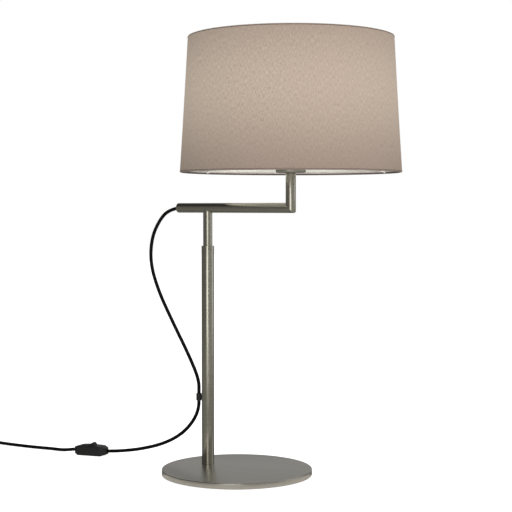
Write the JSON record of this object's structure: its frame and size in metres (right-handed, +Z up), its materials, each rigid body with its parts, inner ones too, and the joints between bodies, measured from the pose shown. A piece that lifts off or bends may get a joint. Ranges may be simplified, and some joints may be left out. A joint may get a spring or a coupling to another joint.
{
  "type": "swing-arm table lamp",
  "caption": "Table lamp with a round plate foot, an offset pole, a horizontal arm that swings about it, a drum fabric shade, and a flex with an in-line rocker switch and a plug.",
  "frame": {"origin": "centre of the round foot's underside, on the table", "axes": "+Z up along the pole, +X along the arm at rest, from the pole towards the shade"},
  "size_m": [0.6789, 0.27, 0.5443],
  "materials": {
    "satin_nickel": "satin brushed nickel",
    "felt": "black felt",
    "zinc_steel": "zinc plated steel",
    "acetal": "natural acetal",
    "black_nylon": "moulded black nylon",
    "black_flex": "smooth black PVC",
    "core_insulation": "coloured core insulation",
    "black_rubber": "black rubber",
    "black_moulding": "fine-grained black moulding",
    "plated_brass": "nickel plated brass",
    "bulb_cap_metal": "bright aluminium",
    "opal_glass": "opal white",
    "taupe_weave": "fine taupe weave",
    "white_laminate": "white laminate",
    "white_wire": "white coated wire"
  },
  "bodies": {
    "stand": {"base_plate": "satin_nickel", "base_pad": "felt", "pole_tube": "satin_nickel", "pole_insert": "zinc_steel", "pole_bolt": "zinc_steel", "bolt_washer": "zinc_steel", "upper_bush": "acetal", "lower_bush": "acetal", "wave_washer": "zinc_steel", "flex_clip": "black_nylon", "switch_lower": "black_moulding", "switch_cover": "black_moulding", "rocker_pin": "zinc_steel", "switch_contacts": "plated_brass", "switch_screws": "zinc_steel", "flex_lower": "black_flex", "flex_floor": "black_flex", "flex_coil": "black_flex", "flex_tail": "black_flex", "coil_tie": "black_nylon", "plug_body": "black_moulding", "plug_pins": "plated_brass"},
    "rocker": {"switch_rocker": "black_moulding"},
    "arm": {"swivel_tube": "satin_nickel", "swivel_plug": "zinc_steel", "pivot_screw": "zinc_steel", "stop_pin": "zinc_steel", "arm_tube": "satin_nickel", "stem_tube": "satin_nickel", "arm_end_cap": "satin_nickel", "flex_gland": "black_rubber", "flex_upper": "black_flex", "flex_inner_end": "black_flex", "inner_cores": "core_insulation", "stem_insert": "zinc_steel", "nipple": "zinc_steel", "nipple_nut": "zinc_steel", "holder_cup": "satin_nickel", "lampholder_body": "black_moulding", "lampholder_contacts": "plated_brass", "shade_clamp_ring": "black_moulding", "bulb_cap": "bulb_cap_metal", "bulb_globe": "opal_glass", "shade_fabric": "taupe_weave", "shade_liner": "white_laminate", "shade_top_ring": "white_wire", "shade_lower_ring": "white_wire", "shade_spider": "white_wire"}
  },
  "joints": [
    {"name": "arm_swivel", "type": "hinge", "parent": "stand", "child": "arm", "pos_m": [-0.047, 0, 0.2887], "axis": [0, 0, 1], "range_deg": [-90, 90]},
    {"name": "switch_rocker", "type": "hinge", "parent": "stand", "child": "rocker", "pos_m": [-0.2414, -0.01556, 0.01], "axis": [-0.3007, 0.9537, 0], "range_deg": [0, 28]}
  ]
}
